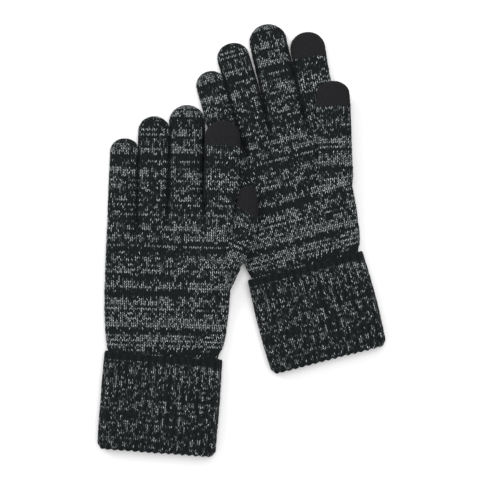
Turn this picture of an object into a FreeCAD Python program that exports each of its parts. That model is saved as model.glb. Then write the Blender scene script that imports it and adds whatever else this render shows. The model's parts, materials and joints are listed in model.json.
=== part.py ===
import FreeCAD, Part

import math
import os

import Sketcher

# A pair of knitted touchscreen gloves laid flat, one partly on the other, in millimetres.
# The right glove lies palm up on the table and carries the pair; the left glove lies back up beside it,
# with its index finger and thumb on top of the right palm. X runs across the pair, Y from the cuffs
# towards the fingertips and Z up from the table.
# Each glove is drawn in its own flat frame: the origin is the middle of the wrist at the cuff's top edge,
# x runs to the thumb side and y to the fingertips.

FINGERS = ("pinky", "ring", "middle", "index")
GLOVES = ("left", "right")

SIZES = {
    # the knitted fabric and how far it stands open
    "knit_wall": 1.5,
    "side_wall": 2.2,
    "finger_thick": 7.6,
    "palm_thick": 8.8,
    "edge_round": 3.7,
    "edge_ease": 0.2,
    # room left between moving pieces and between stacked layers
    "joint_gap": 0.4,
    "layer_gap": 0.4,
    # cuff: a ribbed inner layer and a turned-up outer layer
    "cuff_wide": 83,
    "cuff_tall": 68,
    "cuff_layer": 1.4,
    "cuff_hollow": 4.6,
    "cuff_gap": 0.3,
    # fingers: width, and the place of the root's middle in the glove's frame
    "pinky_wide": 19, "pinky_root_x": -31.4, "pinky_root_y": 93.4,
    "ring_wide": 20.4, "ring_root_x": -10.5, "ring_root_y": 99.2,
    "middle_wide": 24.8, "middle_root_x": 13, "middle_root_y": 105.7,
    "index_wide": 22, "index_root_x": 37, "index_root_y": 108.6,
    # distance from a finger's root to its knuckle, where a base knuckle is free to turn
    "pinky_knuckle": 4.6,
    "ring_knuckle": 9.8,
    "middle_knuckle": 8,
    "index_knuckle": 6.5,
    # length of each finger from its root, its middle joint, and its lean towards the thumb in degrees
    "left_pinky_reach": 58.5, "left_pinky_bend": 31, "left_pinky_lean": 0.3,
    "left_ring_reach": 68.6, "left_ring_bend": 40, "left_ring_lean": -0.3,
    "left_middle_reach": 70.7, "left_middle_bend": 40, "left_middle_lean": -0.5,
    "left_index_reach": 56.7, "left_index_bend": 29, "left_index_lean": 0.8,
    "right_pinky_reach": 55.9, "right_pinky_bend": 35, "right_pinky_lean": -1.2,
    "right_ring_reach": 65.5, "right_ring_bend": 39, "right_ring_lean": -1.9,
    "right_middle_reach": 65.7, "right_middle_bend": 38, "right_middle_lean": 1.2,
    "right_index_reach": 50.8, "right_index_bend": 19.4, "right_index_lean": 4.6,
    "touch_long": 17,
    # the right thumb lies on the palm
    "thumb_wide": 22, "thumb_root_x": 35, "thumb_root_y": 51.2,
    "thumb_knuckle": 6, "thumb_reach": 70.8, "thumb_lean": 12.7, "hood_long": 18,
    # the left thumb comes out beside the palm's edge and widens to its tip
    "left_thumb_x": 54, "left_thumb_y": 88, "left_thumb_lean": 4.9,
    "thumb_tuck": 8, "left_thumb_root": 12, "left_thumb_wide": 15.5, "left_thumb_flare": 16, "left_thumb_reach": 33.5,
    # where the left palm climbs onto the right glove
    "climb_start": 24, "climb_end": 70, "climb_inner": 14, "climb_outer": 34,
    # where the wrist comes down from the cuff's middle height
    "wrist_drop": 20,
    # how the gloves lie: wrist position, turn of the hand and further turn of the cuff
    "left_wrist_x": -53.9, "left_wrist_y": -81.2, "left_turn": -1.5, "left_cuff_turn": -2.8,
    "right_wrist_x": 45.6, "right_wrist_y": -18.1, "right_turn": 14.4, "right_cuff_turn": 0.1,
}

# The palm's outline: distance up from the wrist, its edge on the finger side and on the thumb side.
PALM_OUTLINE = (
    (0, -39.0, 39.0),
    (8, -40.2, 42.0),
    (20, -41.2, 43.8),
    (44, -42.4, 45.4),
    (58, -42.4, 45.0),
    (70, -42.2, 44.4),
    (93.6, -41.5, 46.6),
)

VECTOR = FreeCAD.Vector
UP = VECTOR(0, 0, 1)

document = FreeCAD.newDocument("gloves")


def fill_sheet():
    """Write every driving size into the spreadsheet under its own alias."""
    sheet = document.addObject("Spreadsheet::Sheet", "sizes")
    for row, (name, size) in enumerate(SIZES.items(), 1):
        sheet.set(f"A{row}", name)
        sheet.set(f"B{row}", str(size))
        sheet.setAlias(f"B{row}", name)
    document.recompute()
    return sheet


SHEET = fill_sheet()


def size(name):
    """One driving size, read back from the spreadsheet."""
    return float(getattr(SHEET, name))


def smooth_step(place, start, end):
    """0 before start, 1 after end, and a smooth rise between them."""
    share = min(max((place - start) / (end - start), 0.0), 1.0)
    return share * share * (3 - 2 * share)


# ---- Heights and frames ----

CUFF_THICK = size("cuff_hollow") + 4 * size("cuff_layer") + 2 * size("cuff_gap")
RIB_THICK = size("cuff_hollow") + 2 * size("cuff_layer")
CUFF_MIDDLE = CUFF_THICK / 2
PALM_MIDDLE = size("palm_thick") / 2
FINGER_MIDDLE = size("finger_thick") / 2
STACK = size("palm_thick") + size("layer_gap")
UPPER_MIDDLE = STACK + FINGER_MIDDLE


def spot(x, y, z=0.0, turn=0.0):
    """A placement at a point, turned about Z by degrees."""
    return FreeCAD.Placement(VECTOR(x, y, z), FreeCAD.Rotation(UP, turn))


def glove_spot(glove):
    """The glove's own frame on the table."""
    return spot(size(f"{glove}_wrist_x"), size(f"{glove}_wrist_y"), 0, size(f"{glove}_turn"))


def cuff_spot(glove):
    """The frame of the glove's cuff, turned a little further than its hand."""
    return glove_spot(glove) * spot(0, 0, CUFF_MIDDLE, size(f"{glove}_cuff_turn"))


def finger_level(glove, finger):
    """Mid-thickness height of a finger: only the left index lies on the other glove."""
    return UPPER_MIDDLE if (glove, finger) == ("left", "index") else FINGER_MIDDLE


def finger_spot(glove, finger, along=0.0):
    """The frame of a finger at a distance along it from its root, y towards its tip."""
    root = spot(size(f"{finger}_root_x"), size(f"{finger}_root_y"), finger_level(glove, finger),
                -size(f"{glove}_{finger}_lean"))
    return glove_spot(glove) * root * spot(0, along)


def thumb_spot(glove, along=0.0):
    """The frame of a thumb at a distance along it: from its root, or on the left from its hinge."""
    if glove == "right":
        root = spot(size("thumb_root_x"), size("thumb_root_y"), UPPER_MIDDLE, -size("thumb_lean"))
    else:
        root = spot(size("left_thumb_x"), size("left_thumb_y"), UPPER_MIDDLE, -size("left_thumb_lean"))
    return glove_spot(glove) * root * spot(0, along)


def base_knuckle_turns(glove, finger):
    """The right pinky is held under the left glove and the right index under its own thumb."""
    return glove == "left" or finger in ("ring", "middle")


def stub_end(finger):
    """Where the hand's own fabric ends under a finger, just short of the knuckle's half-round."""
    return size(f"{finger}_knuckle") - FINGER_MIDDLE - size("joint_gap")


# ---- PartDesign pieces: fingers and cuffs ----

def origin_plane(body, role):
    return next(item for item in body.Origin.OriginFeatures if item.Role == role)


def new_sketch(body, name, role):
    """A sketch lying in one of the body's own origin planes."""
    sketch = body.newObject("Sketcher::SketchObject", name)
    sketch.AttachmentSupport = [(origin_plane(body, role), "")]
    sketch.MapMode = "FlatFace"
    return sketch


def bind(sketch, name, kind, *where, to):
    """Add a named dimension at its drawn length and drive it from the spreadsheet: to is both."""
    drawn, expression = to
    number = sketch.addConstraint(Sketcher.Constraint(kind, *where, drawn))
    sketch.renameConstraint(number, name)
    sketch.setExpression(f"Constraints.{name}", expression)


def draw_tube_outline(body, name, across, back, reach, tip):
    """A finger in plan: two straight sides, a square base behind the origin, a round or square tip.

    across, back and reach are (value, expression) pairs.
    """
    half = across[0] / 2
    sketch = new_sketch(body, name, "XY_Plane")
    straight = reach[0] - half if tip == "round" else reach[0]
    low_left, low_right = VECTOR(-half, -back[0], 0), VECTOR(half, -back[0], 0)
    high_left, high_right = VECTOR(-half, straight, 0), VECTOR(half, straight, 0)
    sketch.addGeometry(Part.LineSegment(low_left, low_right))
    sketch.addGeometry(Part.LineSegment(low_right, high_right))
    if tip == "round":
        circle = Part.Circle(VECTOR(0, straight, 0), UP, half)
        sketch.addGeometry(Part.ArcOfCircle(circle, 0, math.pi))
        joins = (("Coincident", 0, 2, 1, 1), ("Tangent", 1, 2, 2, 1), ("Tangent", 2, 2, 3, 1))
    else:
        sketch.addGeometry(Part.LineSegment(high_right, high_left))
        joins = (("Coincident", 0, 2, 1, 1), ("Coincident", 1, 2, 2, 1), ("Coincident", 2, 2, 3, 1),
                 ("Horizontal", 2), ("Vertical", 3))
    sketch.addGeometry(Part.LineSegment(high_left, low_left))
    for join in joins + (("Coincident", 3, 2, 0, 1), ("Vertical", 1), ("Symmetric", 0, 1, 0, 2, -2)):
        sketch.addConstraint(Sketcher.Constraint(*join))
    bind(sketch, "across", "DistanceX", 0, 1, 0, 2, to=across)
    bind(sketch, "back", "DistanceY", 0, 1, -1, 1, to=back)
    if tip == "round":
        to_centre = (straight, f"{reach[1]} - ({across[1]}) / 2")
        bind(sketch, "reach", "DistanceY", -1, 1, 2, 3, to=to_centre)
    else:
        bind(sketch, "reach", "DistanceY", -1, 1, 2, 2, to=reach)
    return sketch


def side_edges(shape, base_y, tip_y):
    """The flat edges on the top and bottom face; those at a square base or tip are left out."""
    names = []
    for number, edge in enumerate(shape.Edges, 1):
        box = edge.BoundBox
        is_flat = box.ZLength < 1e-6
        at_end = box.YLength < 1e-6 and (abs(box.YMin - base_y) < 1e-6 or abs(box.YMin - tip_y) < 1e-6)
        if is_flat and not at_end:
            names.append(f"Edge{number}")
    return names


def tube_piece(name, placement, across, reach, base, tip):
    """A flat knitted tube: padded outline, rounded all along its sides, hollow through its base.

    base is "hinged", with a half-round nose about the frame's x axis, or "joined", cut square.
    tip is "round", which closes the tube, or "open".
    """
    body = document.addObject("PartDesign::Body", name)
    thick, wall, side = size("finger_thick"), size("knit_wall"), size("side_wall")
    back = (thick / 2, "sizes.finger_thick / 2") if base == "hinged" else (0, "0")
    outline = draw_tube_outline(body, f"{name}_outline", across, back, reach,
                                "round" if tip == "round" else "square")
    pad = body.newObject("PartDesign::Pad", f"{name}_pad")
    pad.Profile = outline
    pad.SideType = "Symmetric"
    pad.setExpression("Length", "sizes.finger_thick")
    document.recompute()
    rounding = body.newObject("PartDesign::Fillet", f"{name}_rounding")
    square_base = -1e9 if base == "hinged" else 0.0
    square_tip = 1e9 if tip == "round" else reach[0]
    rounding.Base = (pad, side_edges(pad.Shape, square_base, square_tip))
    rounding.setExpression("Radius", "sizes.edge_round")
    document.recompute()
    inner_across = (across[0] - 2 * side, f"{across[1]} - 2 * sizes.side_wall")
    inner_back = (thick, "sizes.finger_thick")
    if tip == "round":
        inner_reach = (reach[0] - side, f"{reach[1]} - sizes.side_wall")
    else:
        inner_reach = (reach[0] + wall, f"{reach[1]} + sizes.knit_wall")
    hollow = draw_tube_outline(body, f"{name}_hollow", inner_across, inner_back, inner_reach,
                               "round" if tip == "round" else "square")
    pocket = body.newObject("PartDesign::Pocket", f"{name}_pocket")
    pocket.Profile = hollow
    pocket.SideType = "Symmetric"
    pocket.setExpression("Length", "sizes.finger_thick - 2 * sizes.knit_wall")
    body.Label = name
    body.Placement = placement
    return body


def draw_stadium(body, name, wide, thick):
    """A stadium in the XZ plane from (value, expression) pairs: two flats and two half circles."""
    radius = thick[0] / 2
    reach = wide[0] / 2 - radius
    sketch = new_sketch(body, name, "XZ_Plane")
    right, left = VECTOR(reach, 0, 0), VECTOR(-reach, 0, 0)
    rise = VECTOR(0, radius, 0)
    sketch.addGeometry(Part.LineSegment(left - rise, right - rise))
    sketch.addGeometry(Part.ArcOfCircle(Part.Circle(right, UP, radius), -math.pi / 2, math.pi / 2))
    sketch.addGeometry(Part.LineSegment(right + rise, left + rise))
    sketch.addGeometry(Part.ArcOfCircle(Part.Circle(left, UP, radius), math.pi / 2, 3 * math.pi / 2))
    for join in (("Tangent", 0, 2, 1, 1), ("Tangent", 1, 2, 2, 1), ("Tangent", 2, 2, 3, 1),
                 ("Tangent", 3, 2, 0, 1), ("Horizontal", 0), ("Symmetric", 1, 3, 3, 3, -1, 1)):
        sketch.addConstraint(Sketcher.Constraint(*join))
    bind(sketch, "thick", "DistanceY", 0, 2, 1, 2, to=thick)
    between = (wide[0] - thick[0], f"({wide[1]}) - ({thick[1]})")
    bind(sketch, "between", "DistanceX", 3, 3, 1, 3, to=between)
    return sketch


def cuff_piece(name, placement, layers_outside):
    """One layer of the cuff, hanging down from the wrist as a flat tube open at both ends.

    layers_outside is 1 for the ribbed wrist inside and 0 for the turned-up layer around it.
    """
    body = document.addObject("PartDesign::Body", name)
    step = size("cuff_layer") + size("cuff_gap")
    step_text = "(sizes.cuff_layer + sizes.cuff_gap)"
    thick_text = ("sizes.cuff_hollow + 4 * sizes.cuff_layer + 2 * sizes.cuff_gap"
                  f" - {2 * layers_outside} * {step_text}")
    wide = (size("cuff_wide") - 2 * layers_outside * step,
            f"sizes.cuff_wide - {2 * layers_outside} * {step_text}")
    thick = (CUFF_THICK - 2 * layers_outside * step, thick_text)
    inner_wide = (wide[0] - 2 * size("cuff_layer"), f"{wide[1]} - 2 * sizes.cuff_layer")
    inner_thick = (thick[0] - 2 * size("cuff_layer"), f"{thick[1]} - 2 * sizes.cuff_layer")
    pad = body.newObject("PartDesign::Pad", f"{name}_pad")
    pad.Profile = draw_stadium(body, f"{name}_outline", wide, thick)
    pad.setExpression("Length", "sizes.cuff_tall")
    document.recompute()
    if pad.Shape.BoundBox.Center.y > 0:
        pad.Reversed = True
    document.recompute()
    pocket = body.newObject("PartDesign::Pocket", f"{name}_pocket")
    pocket.Profile = draw_stadium(body, f"{name}_hollow", inner_wide, inner_thick)
    pocket.Type = "ThroughAll"
    pocket.SideType = "Symmetric"
    body.Label = name
    body.Placement = placement
    return body


# ---- Lofted pieces: the hands and the left thumb ----

CURVE_STEPS = 12                # spans in a curve across the climbing palm
THUMB_STUB_START = -20.0        # how far inside the palm the left thumb's fabric starts, from its hinge
NOSE_ANGLES = (75, 50, 25, 0)   # sections round the left thumb's hinge end, in degrees before its axis
DOME_ANGLES = (0, 30, 55, 72)   # sections round its tip, in degrees past where it starts to narrow


def palm_height(glove, x, y):
    """Mid-thickness height of the palm: down from the cuff, and on the left up onto the right glove."""
    height = CUFF_MIDDLE + (PALM_MIDDLE - CUFF_MIDDLE) * smooth_step(y, 0, size("wrist_drop"))
    if glove == "left":
        climb = smooth_step(y, size("climb_start"), size("climb_end"))
        across = smooth_step(x, size("climb_inner"), size("climb_outer"))
        height += STACK * climb * across
    return height


def surface_line(x_from, x_to, y, height, offset):
    """A straight line at one level, or a smooth curve where the height changes, at an offset."""
    places = [x_from + (x_to - x_from) * step / CURVE_STEPS for step in range(CURVE_STEPS + 1)]
    points = [VECTOR(x, y, height(x, y) + offset) for x in places]
    levels = [point.z for point in points]
    if max(levels) - min(levels) < 1e-9:
        return Part.LineSegment(points[0], points[-1])
    curve = Part.BSplineCurve()
    curve.interpolate(points)
    return curve


def tube_section(y, left, right, thick, height, breaks=()):
    """A closed section across a flat tube; height(x, y) gives its middle, its sides are half round.

    Its top and underside change from level to sloping only at the breaks.
    """
    radius = thick / 2
    places = [left + radius, *breaks, right - radius]
    top = [surface_line(x_from, x_to, y, height, radius)
           for x_from, x_to in zip(places, places[1:])]
    places.reverse()
    low = [surface_line(x_from, x_to, y, height, -radius)
           for x_from, x_to in zip(places, places[1:])]
    right_middle = VECTOR(right, y, height(places[0], y))
    left_middle = VECTOR(left, y, height(places[-1], y))
    right_side = Part.Arc(top[-1].EndPoint, right_middle, low[0].StartPoint)
    left_side = Part.Arc(low[-1].EndPoint, left_middle, top[0].StartPoint)
    return Part.Wire([curve.toShape() for curve in (*top, right_side, *low, left_side)])


def tube_loft(stations, height):
    """A solid through straight-ruled sections given as (y, left, right, thick)."""
    return Part.makeLoft([tube_section(*station, height) for station in stations], True, True)


def turned_wrist(section, glove):
    """The wrist's own section, turned with the cuff so that the two meet face to face."""
    section.rotate(VECTOR(0, 0, 0), UP, size(f"{glove}_cuff_turn"))
    return section


def palm_shell(glove, inset, side_inset, lower, upper):
    """The palm between the wrist and the fingers, drawn in by an inset for its hollow."""
    def height(x, y):
        return palm_height(glove, x, y)

    breaks = (size("climb_inner"), size("climb_outer")) if glove == "left" else ()
    sections = []
    for y, left, right in PALM_OUTLINE:
        at_wrist = y == PALM_OUTLINE[0][0]
        at_fingers = y == PALM_OUTLINE[-1][0]
        thick = (RIB_THICK if at_wrist else size("palm_thick")) - 2 * inset
        reach = y - lower if at_wrist else y + upper if at_fingers else y
        section = tube_section(reach, left + side_inset, right - side_inset, thick, height, breaks)
        sections.append(turned_wrist(section, glove) if at_wrist else section)
    return Part.makeLoft(sections, True, True)


def level_section(along, wide, thick, placement):
    """A stadium across a frame's y axis, centred on it."""
    section = tube_section(along, -wide / 2, wide / 2, thick, lambda x, y: 0.0)
    section.Placement = placement
    return section


def finger_stub(glove, finger, inset, side_inset, start_y, past):
    """The start of a finger on the palm's end, turned into the finger's own direction."""
    frame = glove_spot(glove).inverse() * finger_spot(glove, finger)
    wide = size(f"{finger}_wide") - 2 * side_inset
    thick = size("finger_thick") - 2 * inset
    lean = math.radians(size(f"{glove}_{finger}_lean"))
    start_x = frame.Base.x + (start_y - frame.Base.y) * math.tan(lean)
    first = level_section(0, wide, thick, spot(start_x, start_y, frame.Base.z))
    last = level_section(stub_end(finger) + past, wide, thick, frame)
    return Part.makeLoft([first, last], True, True)


def thumb_hood():
    """The fabric that carries the right thumb up out of the palm, and the way into the thumb."""
    wall, wide = size("knit_wall"), size("thumb_wide")
    end = size("thumb_knuckle") - FINGER_MIDDLE - size("joint_gap")
    start = end - size("hood_long")
    palm_top = size("palm_thick")
    low, high = UPPER_MIDDLE - FINGER_MIDDLE, UPPER_MIDDLE + FINGER_MIDDLE
    crest = start + 2 * size("hood_long") / 3
    outside = ((start, palm_top - wall), (crest, high), (end, high), (end, low),
               (end - wall, palm_top - wall))
    inside = ((start + 3 * wall, PALM_MIDDLE), (crest + wall, high - wall), (end + wall, high - wall),
              (end + wall, low + wall), (end - 2 * wall, low + wall), (end - 2 * wall, PALM_MIDDLE))
    placement = spot(size("thumb_root_x"), size("thumb_root_y"), 0, -size("thumb_lean"))
    solids = []
    for profile, half in ((outside, wide / 2), (inside, wide / 2 - size("side_wall"))):
        corners = [VECTOR(-half, along, height) for along, height in profile]
        face = Part.Face(Part.makePolygon(corners + corners[:1]))
        solid = face.extrude(VECTOR(2 * half, 0, 0))
        solid.Placement = placement
        solids.append(solid)
    return solids


def thumb_flare(along):
    """Left and right edge of the left thumb at a distance from its hinge."""
    root, wide = size("left_thumb_root"), size("left_thumb_wide")
    share = min(max(along / size("left_thumb_flare"), -1.0), 1.0)
    return -root / 2, -root / 2 + root + (wide - root) * share


def left_thumb_stub(inset, side_inset, past):
    """The hand's own fabric leading to the left thumb, inside the palm's edge and just out of it."""
    end = -FINGER_MIDDLE - size("joint_gap")
    stations = []
    for along in (THUMB_STUB_START, (THUMB_STUB_START + end) / 2, end + past):
        left, right = thumb_flare(along)
        stations.append((along, left - size("thumb_tuck") + side_inset, right - side_inset,
                         size("finger_thick") - 2 * inset))
    solid = tube_loft(stations, lambda x, y: 0.0)
    solid.Placement = spot(size("left_thumb_x"), size("left_thumb_y"), UPPER_MIDDLE + size("edge_ease"),
                           -size("left_thumb_lean"))
    return solid


def build_hand(glove):
    """Palm and back in one knitted tube, with the short starts of the fingers and the thumb."""
    wall, side = size("knit_wall"), size("side_wall")
    outer = [palm_shell(glove, 0, 0, 0, 0)]
    inner = [palm_shell(glove, wall, side, wall, -wall)]
    palm_top = PALM_OUTLINE[-1][0]
    for finger in FINGERS:
        outer.append(finger_stub(glove, finger, 0, 0, palm_top, 0))
        inner.append(finger_stub(glove, finger, wall, side, palm_top - wall, wall))
    if glove == "right":
        hood, way_in = thumb_hood()
        outer.append(hood)
        inner.append(way_in)
    else:
        outer.append(left_thumb_stub(0, 0, 0))
        inner.append(left_thumb_stub(wall, side / 2, wall))
    solid = outer[0]
    for extra in outer[1:]:
        solid = solid.fuse(extra)
    for hollow in inner:
        solid = solid.cut(hollow)
    hand = document.addObject("Part::Feature", f"{glove}_hand")
    hand.Shape = solid
    hand.Label = f"{glove}_hand"
    hand.Placement = glove_spot(glove)
    return hand


def left_thumb_pieces():
    """The left thumb as two closed lofts: its knitted tube and its conductive tip."""
    radius, wall = FINGER_MIDDLE, size("knit_wall")
    seam = size("left_thumb_reach") - size("touch_long")
    reach = size("left_thumb_reach")
    left, right = thumb_flare(seam)
    nose, dome = [], []
    for angle in NOSE_ANGLES:
        along = -radius * math.sin(math.radians(angle))
        nose.append((along, *thumb_flare(0), 2 * radius * math.cos(math.radians(angle))))
    middle, half = (left + right) / 2, (right - left) / 2
    for angle in DOME_ANGLES:
        along = reach - half + half * math.sin(math.radians(angle))
        spread = half * math.cos(math.radians(angle))
        thick = 2 * radius * math.cos(math.radians(angle)) ** 0.5
        dome.append((along, middle - spread, middle + spread, min(thick, 2 * spread - size("edge_ease"))))
    shapes = {
        "left_thumb": (nose + [(seam, left, right, 2 * radius)],
                       [(-2 * radius, *thumb_flare(0)), (0, *thumb_flare(0)), (seam + wall, left, right)]),
        "left_thumb_touch_tip": ([(seam, left, right, 2 * radius)] + dome,
                                 [(seam - wall, left, right), (reach - half, left, right)]),
    }
    pieces = []
    for name, (outside, hollow) in shapes.items():
        inner = [(along, low + wall, high - wall, 2 * radius - 2 * wall) for along, low, high in hollow]
        solid = tube_loft(outside, lambda x, y: 0.0).cut(tube_loft(inner, lambda x, y: 0.0))
        piece = document.addObject("Part::Feature", name)
        piece.Shape = solid
        piece.Label = name
        piece.Placement = thumb_spot("left")
        pieces.append(piece)
    return pieces


# ---- Each glove ----

def span(start, end):
    """A length between two places, each given as (value, expression)."""
    return end[0] - start[0], f"({end[1]}) - ({start[1]})"


def sheet_pair(name):
    return size(name), f"sizes.{name}"


def build_finger(glove, finger):
    """A finger as tubes that meet at its joints, with a black conductive tip on the index."""
    across = sheet_pair(f"{finger}_wide")
    reach, bend = sheet_pair(f"{glove}_{finger}_reach"), sheet_pair(f"{glove}_{finger}_bend")
    touch = sheet_pair("touch_long")
    before_bend = (bend[0] - FINGER_MIDDLE - size("joint_gap"),
                   f"{bend[1]} - sizes.finger_thick / 2 - sizes.joint_gap")
    name = f"{glove}_{finger}"
    if base_knuckle_turns(glove, finger):
        start, base = sheet_pair(f"{finger}_knuckle"), "hinged"
    else:
        start, base = (stub_end(finger),
                       f"sizes.{finger}_knuckle - sizes.finger_thick / 2 - sizes.joint_gap"), "joined"
    pieces = [tube_piece(f"{name}_base", finger_spot(glove, finger, start[0]), across,
                         span(start, before_bend), base, "open")]
    if finger != "index":
        pieces.append(tube_piece(f"{name}_end", finger_spot(glove, finger, bend[0]), across,
                                 span(bend, reach), "hinged", "round"))
        return pieces
    seam = (reach[0] - touch[0], f"{reach[1]} - {touch[1]}")
    pieces.append(tube_piece(f"{name}_end", finger_spot(glove, finger, bend[0]), across,
                             span(bend, seam), "hinged", "open"))
    pieces.append(tube_piece(f"{name}_touch_tip", finger_spot(glove, finger, seam[0]), across,
                             touch, "joined", "round"))
    return pieces


def build_right_thumb():
    """The right thumb, hinged where it leaves its hood, and its conductive tip."""
    across, touch = sheet_pair("thumb_wide"), sheet_pair("touch_long")
    start, reach = sheet_pair("thumb_knuckle"), sheet_pair("thumb_reach")
    seam = (reach[0] - touch[0], f"{reach[1]} - {touch[1]}")
    return [tube_piece("right_thumb", thumb_spot("right", start[0]), across,
                       span(start, seam), "hinged", "open"),
            tube_piece("right_thumb_touch_tip", thumb_spot("right", seam[0]), across,
                       touch, "joined", "round")]


def build_glove(glove):
    pieces = [build_hand(glove),
              cuff_piece(f"{glove}_wrist_rib", cuff_spot(glove), 1),
              cuff_piece(f"{glove}_cuff_turnup", cuff_spot(glove), 0)]
    for finger in FINGERS:
        pieces.extend(build_finger(glove, finger))
    pieces.extend(build_right_thumb() if glove == "right" else left_thumb_pieces())
    return pieces


def centre_shift(pieces):
    """The move that puts the middle of the pair's box over the origin, standing on the table."""
    box = FreeCAD.BoundBox()
    for piece in pieces:
        box.add(piece.Shape.optimalBoundingBox(False, False))
    return VECTOR(-box.Center.x, -box.Center.y, -box.ZMin)


def check_document(pieces):
    """Stop on any failed object, and on any piece that is not one valid closed solid."""
    for item in document.Objects:
        if {"Invalid", "Error"} & set(item.State):
            raise RuntimeError(f"{item.Name} did not recompute: {item.State}")
    for piece in pieces:
        shape = piece.Shape
        if shape.isNull() or not shape.isValid() or len(shape.Solids) != 1:
            raise RuntimeError(f"{piece.Label}: {len(shape.Solids)} solids, valid {shape.isValid()}")


def build_pair():
    pieces = [piece for glove in GLOVES for piece in build_glove(glove)]
    document.recompute()
    shift = centre_shift(pieces)
    for piece in pieces:
        piece.Placement = FreeCAD.Placement(shift, FreeCAD.Rotation()) * piece.Placement
    document.recompute()
    check_document(pieces)
    return pieces, shift


PIECES, SHIFT = build_pair()
os.makedirs("parts", exist_ok=True)
for part_piece in PIECES:
    part_piece.Shape.exportStep(f"parts/{part_piece.Label}.step")
print(len(PIECES), "pieces; moved by", SHIFT)
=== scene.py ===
import math
import json
import bpy
import numpy as np
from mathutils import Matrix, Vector


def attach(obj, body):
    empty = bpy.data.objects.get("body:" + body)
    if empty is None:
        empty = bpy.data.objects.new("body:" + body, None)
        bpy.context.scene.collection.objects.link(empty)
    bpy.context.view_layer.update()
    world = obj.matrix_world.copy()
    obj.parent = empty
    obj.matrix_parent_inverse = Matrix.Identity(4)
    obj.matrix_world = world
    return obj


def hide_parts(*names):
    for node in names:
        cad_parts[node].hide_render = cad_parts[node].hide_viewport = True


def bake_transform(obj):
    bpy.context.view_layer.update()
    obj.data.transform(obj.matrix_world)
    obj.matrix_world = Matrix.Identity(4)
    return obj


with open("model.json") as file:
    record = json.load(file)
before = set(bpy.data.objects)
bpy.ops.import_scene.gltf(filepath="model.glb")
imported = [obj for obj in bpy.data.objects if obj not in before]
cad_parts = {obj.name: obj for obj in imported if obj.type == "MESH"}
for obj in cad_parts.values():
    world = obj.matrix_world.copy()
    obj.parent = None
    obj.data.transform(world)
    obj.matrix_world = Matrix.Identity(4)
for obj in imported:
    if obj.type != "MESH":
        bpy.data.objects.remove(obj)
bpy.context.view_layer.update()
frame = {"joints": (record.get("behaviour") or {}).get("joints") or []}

# Everything is worked out in millimetres in each glove's flat frame (origin at the middle of the wrist on
# the cuff's top edge, x to the thumb side, y to the fingertips) and turned into metres at the very end.
MM = 0.001
FINGERS = ("pinky", "ring", "middle", "index")

# ---- Sizes shared with the frame ----
PALM_THICK = 8.8
FINGER_THICK = 7.6
CUFF_THICK = 10.8
CUFF_TALL = 68.0
STACK = PALM_THICK + 0.4
PALM_MIDDLE = PALM_THICK / 2
FINGER_MIDDLE = FINGER_THICK / 2
UPPER_MIDDLE = STACK + FINGER_MIDDLE
CUFF_MIDDLE = CUFF_THICK / 2
TOUCH_LONG = 17.0

# ---- Knit ----
COURSE = 1.7  # height of one row of stitches
PALM_WALES = 35  # stitch columns on one face of the palm
PER_WALE = 6  # mesh columns in a stitch column
PER_COURSE = 4  # mesh rows in a stitch row
SIDE_WALES = 2  # stitch columns on a finger's side that faces a neighbour
STITCH_RISE = 1.3  # how far a stitch's outer ends stand above its middle, in rows
STITCH_RELIEF = 0.75  # height of the stitches
TOUCH_RELIEF = 0.8  # the same for the finer conductive yarn, as a share
RIB_RISE = 5.0  # as STITCH_RISE, in rows for each pitch of the ribbing
RIB_HEIGHT = 0.55  # height of the raised ribs
RIB_RELIEF = 0.5  # height of the stitches on them
RIB_WIDTH = 0.24  # half width of a raised rib, in pitches
LEG_POWER, ROW_POWER = 0.8, 0.6  # powers that round the legs and the rows of stitches
STITCH_UNEVEN, RIB_UNEVEN = 0.5, 0.6  # how much stitches differ, as a share of their height
STITCH_ROW_DEPTH, RIB_ROW_DEPTH = 0.6, 0.65  # share of their height lost between rows
STITCH_SINK = 0.35  # how far the smooth surface lies under the CAD's, so that the stitches end up on it
RIB_SINK = 0.6
LOWEST = 0.12  # nothing reaches under the table

# ---- Unevenness ----
TABLE_SIZE = 4096  # random values in a table
PRIMES_3D = (73856093, 19349663, 83492791)
PRIMES_2D = (7919, 104729)
LATTICE_SHIFT = 1000.0  # keeps every place positive
STITCH_SEED, RIB_SEED = 5, 6
COARSE, FINE = 26.0, 9.0  # sizes of the swellings, and what the finer ones add
FINE_SHARE, FINE_SEED = 0.5, 10
AXIS_SHARES = (0.6, 0.6, 1.0)
HAND_UNEVEN, CUFF_UNEVEN = 0.5, 0.3
HAND_SEED = {"left": 40, "right": 80}
CUFF_SEED = {"left": 140, "right": 180}

# ---- Layout of a glove ----
# Stitch columns on each finger's upper face. Then, for the two sides of the palm and the gaps between
# fingers: the first stitch column beyond, its x and the y up to which neighbouring fingers are joined.
FINGER_WALES = {"pinky": 9, "ring": 8, "middle": 10, "index": 8}
GAP_WALE = (0, 9, 17, 27, 35)
GAP_X = (-41.5, -21.1, 0.0, 25.9, 46.6)
GAP_CROTCH = (None, 93.6, 104.7, 106.8, None)

PALM_END = 93.6
PALM_START = -5.0
# y, and x of the little finger's side and of the thumb's
PALM_OUTLINE = np.array([
    (-6, -37.6, 37.6), (0, -38.2, 38.2), (8, -40.0, 41.8), (20, -41.3, 43.8), (44, -42.4, 45.5),
    (58, -42.4, 45.0), (70, -42.2, 44.4), (93.6, -41.5, 46.6)])
# where each finger's own line starts, and how far along it the knuckle's hinge lies
ROOTS = {"pinky": (-31.4, 93.4), "ring": (-10.5, 99.2), "middle": (13.0, 105.7), "index": (37.0, 108.6)}
KNUCKLE = {"pinky": 4.6, "ring": 9.8, "middle": 8.0, "index": 6.5}
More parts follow.
